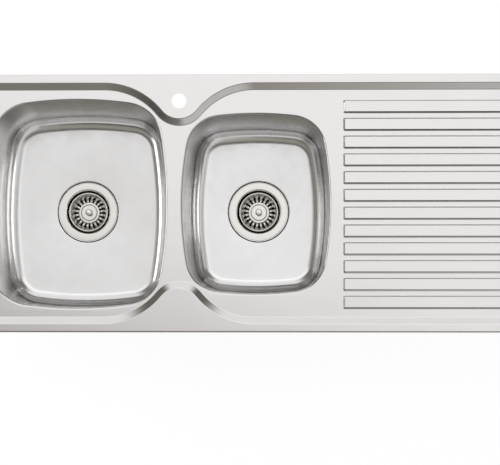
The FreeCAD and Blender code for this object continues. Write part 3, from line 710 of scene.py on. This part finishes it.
def make_cup(name, middle):
    """Flange and cup in one drawn sheet, with round holes and the bolt's hole in its floor."""
    under, outside, inner = FLANGE_LEVEL - CUP_SHEET, THROAT + CUP_SHEET, THROAT - CUP_CORNER
    shell = rounded_profile([
        (inner, CUP_FLOOR - CUP_SHEET, 0), (outside, CUP_FLOOR - CUP_SHEET, CUP_CORNER + CUP_SHEET - 0.01),
        (outside, under, FLANGE_ROLL - CUP_SHEET), (FLANGE_RADIUS, under, 0.3), (FLANGE_RADIUS, FLANGE_LEVEL, 0.6),
        (THROAT, FLANGE_LEVEL, FLANGE_ROLL), (THROAT, CUP_FLOOR, CUP_CORNER - 0.01), (inner, CUP_FLOOR, 0),
    ], closed=False)
    bm = bmesh.new()
    lathe(bm, shell, middle, FLOOR_LEVEL, closed=False)
    level = FLOOR_LEVEL + CUP_FLOOR
    holes = [circle(middle, BOLT_RADIUS + 0.3, level, 24)]
    for index in range(CUP_HOLES):
        angle = 2 * math.pi * index / CUP_HOLES
        spot = Vector(middle) + CUP_HOLE_CIRCLE * Vector((math.cos(angle), math.sin(angle)))
        holes.append(circle(spot, CUP_HOLE_RADIUS, level, 32))
    for drop in (0, CUP_SHEET):
        fill(bm, [[(px, py, level - drop) for px, py, _ in points]
                  for points in [circle(middle, inner, level)] + holes])
    for points in holes:
        strip(bm, [points, [(px, py, level - CUP_SHEET) for px, py, _ in points]])
    made = mesh_object(name + "_flange_cup", bm, BRIGHT_STEEL)
    dress(made, "sink", [name + "_waste_cup"])


def make_seals(name, middle):
    """Rubber rings above and below the bowl's floor."""
    for piece, outer, bottom, height in (
        ("flange_seal", FLANGE_RADIUS - CUP_SHEET, -RECESS_DEPTH, SEAL_HEIGHT),
        ("body_seal", FLANGE_RADIUS, BODY_TOP, BODY_SEAL_HEIGHT),
    ):
        inner = outer - SEAL_WIDTH
        section = [(inner, bottom, 0.4), (outer, bottom, 0.6), (outer, bottom + height, 0.6),
                   (inner, bottom + height, 0.4)]
        bm = bmesh.new()
        lathe(bm, rounded_profile(section), middle, FLOOR_LEVEL)
        made = mesh_object(name + "_rubber_" + piece, bm, BLACK_RUBBER)
        dress(made, "sink", [name + "_" + piece])


def make_body(name, middle):
    """Moulded body: flange, round wall and cone, with a webbed boss for the clamp bolt inside."""
    lean = math.atan2(BODY_CONE_TOP - BODY_CONE_FOOT, BODY_RADIUS - OUTLET_BORE)
    rise = BODY_WALL * math.tan(math.pi / 4 - lean / 2)
    outside = BODY_RADIUS + BODY_WALL
    section = [
        (BODY_FLANGE, BODY_TOP, 0.8), (BODY_RADIUS, BODY_TOP, 0.8), (BODY_RADIUS, BODY_CONE_TOP, 5),
        (OUTLET_BORE, BODY_CONE_FOOT, 2), (OUTLET_BORE, OUTLET_LEVEL, 0), (OUTLET_RADIUS, OUTLET_LEVEL, 0),
        (OUTLET_RADIUS, BODY_CONE_FOOT - rise, 2), (outside, BODY_CONE_TOP - rise, 6),
        (outside, BODY_TOP - BODY_WALL, 2), (BODY_FLANGE, BODY_TOP - BODY_WALL, 0.8),
    ]
    bm = bmesh.new()
    lathe(bm, rounded_profile(section), middle, FLOOR_LEVEL)
    top, bottom = BOSS_TOP, BOSS_TOP - BOSS_HEIGHT
    boss = [(BOSS_POCKET, top), (BOSS_RADIUS, top), (BOSS_RADIUS, bottom), (BOSS_POCKET, bottom)]
    lathe(bm, boss, middle, FLOOR_LEVEL, 48)
    half = WEB_THICKNESS / 2
    for index in range(WEB_COUNT):
        turn = Matrix.Rotation(2 * math.pi * index / WEB_COUNT, 3, "Z")
        corners = [(BOSS_RADIUS - 0.3, -half), (BODY_RADIUS + 0.5, -half), (BODY_RADIUS + 0.5, half),
                   (BOSS_RADIUS - 0.3, half)]
        spots = [turn @ Vector((*corner, FLOOR_LEVEL + top)) + Vector((*middle, 0)) for corner in corners]
        plate(bm, [[tuple(spot) for spot in spots]], BOSS_HEIGHT)
    made = mesh_object(name + "_moulded_body", bm, WHITE_PLASTIC)
    dress(made, "sink", [name + "_waste_body"])
    top, bottom = FLOOR_LEVEL + OUTLET_LEVEL, FLOOR_LEVEL + OUTLET_LEVEL - OUTLET_LENGTH
    rows = thread_rows(middle, OUTLET_RADIUS, OUTLET_THREAD, bottom, top, 72)
    bm = bmesh.new()
    strip(bm, rows + [circle(middle, OUTLET_BORE, level, 72) for level in (top, bottom)], closed=True)
    made = mesh_object(name + "_threaded_outlet", bm, WHITE_PLASTIC)
    dress(made, "sink", [name + "_outlet_tube"])


def make_bolt(name, middle):
    radius, height = BOLT_HEAD
    bm = bmesh.new()
    head = [(0, height), (radius - 1.2, height), (radius, height - 0.7), (radius, 0), (BOLT_RADIUS, 0)]
    lathe(bm, head, middle, FLOOR_LEVEL + CUP_FLOOR, 6, closed=False)
    ends = (FLOOR_LEVEL + CUP_FLOOR - BOLT_LENGTH, FLOOR_LEVEL + CUP_FLOOR)
    rows = thread_rows(middle, BOLT_RADIUS, BOLT_THREAD, *ends, 24)
    strip(bm, rows)
    fill(bm, rows[:1])
    fill(bm, rows[-1:])
    made = mesh_object(name + "_hex_bolt", bm, ZINC_STEEL)
    dress(made, "sink", [name + "_clamp_bolt"], 0.2)


def basket_line():
    """Upper line of the basket from the stem out to the rim, in short steps for the slots."""
    radius, floor = BASKET_FLOOR
    width, height = BASKET_BEAD
    groove, depth = GROOVE
    corners = [
        (STEM_RADIUS + 0.3, CROWN_LEVEL, 0), (CROWN_RADIUS, CROWN_LEVEL, 0.4),
        (CROWN_RADIUS + groove / 2, HUB_LEVEL - depth, 0.1), (CROWN_RADIUS + groove, HUB_LEVEL, 0.4),
        (HUB_RADIUS, HUB_LEVEL, 1.0), (TROUGH_RADIUS, floor, 1.2), (radius, floor, 4.0),
        (BASKET_RIM - width, BASKET_LEVEL - height, 0.6),
        (BASKET_RIM - 0.75 * width, BASKET_LEVEL, 1.6), (BASKET_RIM - 0.25 * width, BASKET_LEVEL, 1.6),
        (BASKET_RIM, BASKET_LEVEL - height, 0),
    ]
    coarse = rounded_profile(corners, closed=False, steps=5)
    line = [coarse[0]]
    for start, end in zip(coarse, coarse[1:]):
        steps = max(1, math.ceil(math.dist(start, end) / 1.6))
        line += [tuple(Vector(start).lerp(Vector(end), step / steps)) for step in range(1, steps + 1)]
    return line


def make_basket(name, middle):
    """Strainer basket: one sector with its slot, repeated round the axis, then given its thickness."""
    line = basket_line()
    along = [0.0]
    for start, end in zip(line, line[1:]):
        along.append(along[-1] + math.dist(start, end))
    first = min(s for s, (r, z) in zip(along, line) if r >= SLOT_INNER)
    last = max(s for s, (r, z) in zip(along, line) if z <= SLOT_TOP)
    half_sector = math.pi / SLOT_COUNT
    end_round = SLOT_WIDTH / 2
    bm = bmesh.new()
    for side in (-1, 1):
        rows = []
        for s, (r, z) in zip(along, line):
            near = min(max(min(s - first, last - s), 0), end_round)
            gap = math.asin(math.sqrt(max(end_round ** 2 - (end_round - near) ** 2, 0)) / r)
            angles = [side * (gap + (half_sector - gap) * share) for share in (0, 0.5, 1)]
            rows.append([bm.verts.new((r * math.cos(a), r * math.sin(a), z)) for a in angles])
        for row, after in zip(rows, rows[1:]):
            for index in (0, 1):
                bm.faces.new((row[index], row[index + 1], after[index + 1], after[index]))
    sector = mesh_object(name + "_sector", bm, BRIGHT_STEEL, open_sheet=True)
    mesh = copies(sector, SLOT_COUNT, (0, 0, 0), 2 * half_sector)
    mesh.transform(Matrix.Translation(Vector((*middle, FLOOR_LEVEL)) * MM))
    made = link(name + "_strainer_basket", mesh)
    sheet = made.modifiers.new("sheet_thickness", "SOLIDIFY")
    sheet.thickness = BASKET_SHEET * MM
    sheet.offset = -1
    dress(made, name + "_strainer", [name + "_basket"])


def make_knob(name, middle):
    """Turned knob with a soft edge and a waist, on its stem."""
    section = rounded_profile([
        (0, KNOB_TOP, 0), (KNOB_RADIUS, KNOB_TOP - 0.3, 2.2), (KNOB_RADIUS, KNOB_UNDER, 1.2),
        (KNOB_NECK - 0.9, KNOB_UNDER - 2.0, 1.5), (KNOB_NECK, CROWN_LEVEL, 0), (STEM_RADIUS, CROWN_LEVEL, 0),
        (STEM_RADIUS, STEM_FOOT, 0), (STEM_NUT[0], STEM_FOOT, 0.3), (STEM_NUT[0], STEM_FOOT - 1.4, 0.5),
        (0, STEM_FOOT - 1.4, 0),
    ], closed=False)
    bm = bmesh.new()
    lathe(bm, section, middle, FLOOR_LEVEL, 48, closed=False)
    made = mesh_object(name + "_turned_knob", bm, BRIGHT_STEEL)
    dress(made, name + "_strainer", [name + "_basket_knob"])


def make_stopper(name, middle):
    """Rubber stopper: a flat lip and a dished wall up to its hub, and the hexagon nut under the basket."""
    rise = STOPPER_TOP - STOPPER_FOOT
    lip = STOPPER_RADIUS - 2.5
    lean = math.atan2(rise, lip - STOPPER_HUB)
    out = STOPPER_SHEET * math.tan(lean / 2)
    section = rounded_profile([
        (STOPPER_RADIUS, STOPPER_FOOT, 0.8), (lip, STOPPER_FOOT, 1.5), (STOPPER_HUB, STOPPER_TOP, 2.0),
        (STEM_HOLE, STOPPER_TOP, 0), (STEM_HOLE, STOPPER_TOP - STOPPER_SHEET, 0),
        (STOPPER_HUB - out, STOPPER_TOP - STOPPER_SHEET, 1.5), (lip - out, STOPPER_FOOT - STOPPER_SHEET, 1.5),
        (STOPPER_RADIUS, STOPPER_FOOT - STOPPER_SHEET, 0.8),
    ])
    bm = bmesh.new()
    lathe(bm, section, middle, FLOOR_LEVEL, 72)
    made = mesh_object(name + "_rubber_stopper", bm, BLACK_RUBBER)
    dress(made, name + "_strainer", [name + "_stopper"])
    radius, height = STEM_NUT
    level = FLOOR_LEVEL + CROWN_LEVEL - BASKET_SHEET
    bm = bmesh.new()
    plate(bm, [circle(middle, radius, level, 6), circle(middle, STEM_HOLE, level, 24)], height)
    made = mesh_object(name + "_hex_nut", bm, BRIGHT_STEEL)
    dress(made, name + "_strainer", [name + "_stem_nut"], 0.3)


# Rails and clips

def make_rail(node):
    """A rolled C-channel with bent corners, its slot below."""
    low, high = box_mm(node)
    width, height, sheet = RAIL
    half, inner, slot = width / 2, width / 2 - sheet, RAIL_SLOT / 2
    section = [
        (half, 0, 1.6), (half, -height, 1.6), (slot, -height, 0.3), (slot, sheet - height, 0.3),
        (inner, sheet - height, 0.4), (inner, -sheet, 0.4),
    ]
    points = rounded_profile(section + [(-y, z, rounding) for y, z, rounding in section[::-1]], steps=4)
    lengthwise = high.x - low.x > high.y - low.y
    middle = (low + high) / 2
    bm = bmesh.new()
    loops = []
    for end in (low, high):
        if lengthwise:
            loops.append([(end.x, middle.y + y, UNDERSIDE + z) for y, z in points])
        else:
            loops.append([(middle.x + y, end.y, UNDERSIDE + z) for y, z in points])
        fill(bm, loops[-1:])
    strip(bm, loops)
    dress(mesh_object(node.replace("_rail", "_channel"), bm, RAIL_STEEL), "sink", [node])


def make_arm():
    """A strap with a round end and an eye, cut across where it bends up to its raised toe."""
    half, tip = ARM_WIDTH / 2, 2.5
    edge = outline([
        ((0, 0), half, 90, 180), ((ARM_REACH - tip, tip - half), tip, -90, 90),
        ((ARM_REACH - tip, half - tip), tip, 0, 90),
    ])
    bm = bmesh.new()
    fill(bm, [loop(edge, 0, 0), circle((0, 0), EYE_RADIUS, 0, 32)])
    for index in range(9):
        place = (ARM_RAMP + (ARM_TOE - ARM_RAMP) * index / 8, 0, 0)
        bmesh.ops.bisect_plane(bm, geom=bm.verts[:] + bm.edges[:] + bm.faces[:], plane_co=place, plane_no=(1, 0, 0))
    for vert in bm.verts:
        share = min(max((vert.co.x - ARM_RAMP) / (ARM_TOE - ARM_RAMP), 0), 1)
        soft = share * share * (3 - 2 * share)
        vert.co.z = ARM_LEVEL + ARM_SHEET + ARM_LIFT * (0.6 * share + 0.4 * soft)
    under = bmesh.ops.extrude_face_region(bm, geom=bm.faces[:], use_keep_orig=True)["geom"]
    moved = [item for item in under if isinstance(item, bmesh.types.BMVert)]
    bmesh.ops.translate(bm, vec=(0, 0, -ARM_SHEET), verts=moved)
    return bm


def make_screw():
    """A hanging screw with a hexagon head below."""
    radius, height = SCREW_HEAD
    bm = bmesh.new()
    head = [(0, -height), (radius - 0.9, -height), (radius, 0.6 - height), (radius, 0), (SCREW_RADIUS, 0)]
    lathe(bm, head, (0, 0), HEAD_LEVEL, 6, closed=False)
    rows = thread_rows((0, 0), SCREW_RADIUS, SCREW_THREAD, HEAD_LEVEL, HEAD_LEVEL + SCREW_LENGTH, 18)
    strip(bm, rows)
    fill(bm, rows[:1])
    fill(bm, rows[-1:])
    return bm


def make_nut():
    width, height = NUT_SIZE
    square = [(side_x * width / 2, side_y * width / 2, NUT_LEVEL + height)
              for side_x, side_y in ((1, 1), (-1, 1), (-1, -1), (1, -1))]
    bm = bmesh.new()
    plate(bm, [square, circle((0, 0), EYE_RADIUS, NUT_LEVEL + height, 24)], height)
    return bm


def make_clips():
    """Every clip: its square nut, screw and arm, each made once and set where its joint stands."""
    shapes = {"nut": make_nut(), "screw": make_screw(), "arm": make_arm()}
    names = {"nut": "square_nut", "screw": "hex_screw", "arm": "strap_arm"}
    firsts = {piece: mesh_object(names[piece], bm, ZINC_STEEL) for piece, bm in shapes.items()}
    joints = frame["record"]["behaviour"]["joints"]
    ways = {joint["child"]: joint["axis"] for joint in joints if joint["type"] == "slide"}
    for joint in joints:
        if joint["type"] != "hinge":
            continue
        clip, way = joint["parent"], ways[joint["parent"]]
        x, y = joint["pos_m"][:2]
        turn = Matrix.Rotation(math.atan2(way[1], way[0]), 4, "Z")
        for piece, first in firsts.items():
            mesh = first.data.copy()
            mesh.transform(Matrix.Translation((x, y, UNDERSIDE * MM)) @ turn)
            made = link(clip + "_" + names[piece], mesh)
            body = joint["child"] if piece == "arm" else clip
            dress(made, body, [clip + "_" + piece], 0.0 if piece == "screw" else 0.3)
    for first in firsts.values():
        bpy.data.objects.remove(first)


make_sink_top()
make_foam()
for bowl_name, bowl_sizes in BOWLS.items():
    make_bowl(bowl_name, bowl_sizes)
    make_pad(bowl_name, bowl_sizes)
    for make_piece in (make_cup, make_seals, make_body, make_bolt, make_basket, make_knob, make_stopper):
        make_piece(bowl_name, bowl_sizes["middle"])
for part in frame["record"]["subparts"]:
    if part["node"].endswith("_rail"):
        make_rail(part["node"])
make_clips()

# Brass insert nuts stay as their solids
for part in frame["record"]["subparts"]:
    if part["material_slot"] == "brass":
        solid = frame["nodes"][part["node"]]
        solid.data.materials.clear()
        solid.data.materials.append(BRASS)


# Studio: a white floor in a room whose ceiling is white, with a low soft box at the left

FLOOR_REACH = 40000.0


def make_floor():
    """A white floor that takes a soft shadow, and that is clear from below so that the underside can be seen."""
    material, tree = new_material("white_floor")
    rays = add(tree, "ShaderNodeLightPath").outputs
    seen = add(tree, "ShaderNodeMath", {0: rays["Is Camera Ray"], 1: rays["Is Glossy Ray"]}, operation="ADD")
    shown = add(tree, "ShaderNodeMath", {0: seen.outputs[0], 1: rays["Is Transmission Ray"]},
                operation="ADD", use_clamp=True)
    matt = add(tree, "ShaderNodeBsdfDiffuse", {"Color": linear("#f4f4f2")})
    white = add(tree, "ShaderNodeEmission", {"Color": linear("#ffffff"), "Strength": 0.9})
    shaded = add(tree, "ShaderNodeBsdfDiffuse", {"Color": linear("#7c7c7c")})
    bright = add(tree, "ShaderNodeAddShader", {0: white.outputs[0], 1: shaded.outputs[0]})
    upper = add(tree, "ShaderNodeMixShader", {0: shown.outputs[0], 1: matt.outputs[0], 2: bright.outputs[0]})
    under = add(tree, "ShaderNodeNewGeometry").outputs["Backfacing"]
    clear = add(tree, "ShaderNodeBsdfTransparent")
    mixed = add(tree, "ShaderNodeMixShader", {0: under, 1: upper.outputs[0], 2: clear.outputs[0]})
    add(tree, "ShaderNodeOutputMaterial", {"Surface": mixed.outputs[0]})
    level = cad_box[0].z / MM
    bm = bmesh.new()
    fill(bm, [[(x * FLOOR_REACH, y * FLOOR_REACH, level) for x, y in ((-1, -1), (1, -1), (1, 1), (-1, 1))]])
    floor = mesh_object("floor", bm, material, open_sheet=True)


def make_world():
    """A white ceiling over a room that is light behind the sink and dark in front of it.

    Each value is the light from one direction, where 1 is white; X, Y and Z are parts of that direction."""
    world = bpy.data.worlds.new("studio")
    bpy.context.scene.world = world
    world.use_nodes = True
    tree = world.node_tree
    tree.nodes.clear()
    way = add(tree, "ShaderNodeTexCoord").outputs["Generated"]
    parts = add(tree, "ShaderNodeSeparateXYZ", {0: way}).outputs

    def share(value, low, high, first=0.0, last=1.0):
        """Goes softly from the first to the last light between two values."""
        return add(tree, "ShaderNodeMapRange", {
            "Value": value, "From Min": low, "From Max": high, "To Min": first, "To Max": last,
        }, interpolation_type="SMOOTHSTEP").outputs[0]

    aside = add(tree, "ShaderNodeMath", {0: parts["X"]}, operation="ABSOLUTE").outputs[0]
    ahead = add(tree, "ShaderNodeMath", {0: parts["Y"], 1: aside}, operation="SUBTRACT").outputs[0]
    slant = add(tree, "ShaderNodeMath", {0: parts["X"], 1: 0.35, 2: parts["Y"]}, operation="MULTIPLY_ADD").outputs[0]

    # The ceiling falls off to both sides, has a brighter strip behind and a dark patch in front
    bright = share(aside, 0.18, 0.38, 1.16, 0.6)
    bright = share(parts["Y"], 0.3, 0.38, share(parts["Y"], 0.2, 0.26, bright, 1.5), bright)
    ceiling = share(slant, -0.17, 0.08, share(slant, -0.45, -0.25, 0.35, 0.08), bright)

    # The front is dark low down between its corners, and grey above, lighter to the right; the sides are dim, and
    # the back is white
    front = share(parts["X"], -0.12, 0.15, 0.06, 0.8)
    low_front = share(aside, 0.3, 0.5, share(parts["X"], -0.1, 0.12, 0.1, 0.02), 0.3)
    high_front = share(parts["X"], -0.12, 0.15, 0.3, 0.6)
    front = share(parts["Z"], 0.54, 0.7, share(parts["Z"], 0.36, 0.52, low_front, front), high_front)
    sides = share(ahead, -0.6, -0.2, front, 0.16)
    back = share(parts["Z"], 0.3, 0.5, 1.25, 1.0)
    room = share(ahead, 0.1, 0.5, sides, back)
    up = share(parts["Z"], 0.76, 0.9)
    level = add(tree, "ShaderNodeMix", {0: up, 2: room, 3: ceiling}).outputs[0]

    # A faint patch high at the right, and a warm tint where the room is dark
    near = add(tree, "ShaderNodeVectorMath", {0: way, 1: (0.8, 0.0, 0.6)}, operation="DOT_PRODUCT").outputs["Value"]
    patch = share(near, 0.93, 0.98, 0.0, 0.15)
    level = add(tree, "ShaderNodeMath", {0: level, 1: patch}, operation="ADD").outputs[0]
    tint = add(tree, "ShaderNodeMix", {
        0: share(level, 0.3, 0.75), 6: linear("#fffaee"), 7: linear("#ffffff"),
    }, data_type="RGBA").outputs[2]
    light = add(tree, "ShaderNodeBackground", {"Color": tint, "Strength": level})
    add(tree, "ShaderNodeOutputWorld", {"Surface": light.outputs[0]})


def make_camera():
    """Almost straight down from a little in front and to the right.

    The picture is a part cut from a wider view: the shift makes the cut, and the slight tilt keeps it small."""
    camera = bpy.data.cameras.new("camera")
    camera.sensor_width = 36.0
    camera.lens = 132.672
    camera.shift_x = -0.05
    camera.shift_y = 0.14
    camera.clip_end = 100.0
    seat = bpy.data.objects.new("camera", camera)
    bpy.context.scene.collection.objects.link(seat)
    seat.location = (0.061778, -0.308973, 3.402878)
    seat.rotation_euler = (0.036718, 0.023063, 0.001327)
    bpy.context.scene.camera = seat


def make_lamp():
    """A low soft box to the left, that lights the far foot of the large bowl and draws its line on the rims."""
    lamp = bpy.data.lights.new("left_soft_box", "AREA")
    lamp.shape = "RECTANGLE"
    lamp.size = 0.36
    lamp.size_y = 0.50
    lamp.energy = 2.2
    seat = bpy.data.objects.new("left_soft_box", lamp)
    bpy.context.scene.collection.objects.link(seat)
    seat.location = (-1.25, 0.03, 0.5)
    seat.rotation_euler = (0, math.radians(-70), 0)


make_floor()
make_world()
make_lamp()
make_camera()
bpy.context.scene.view_settings.view_transform = "Standard"
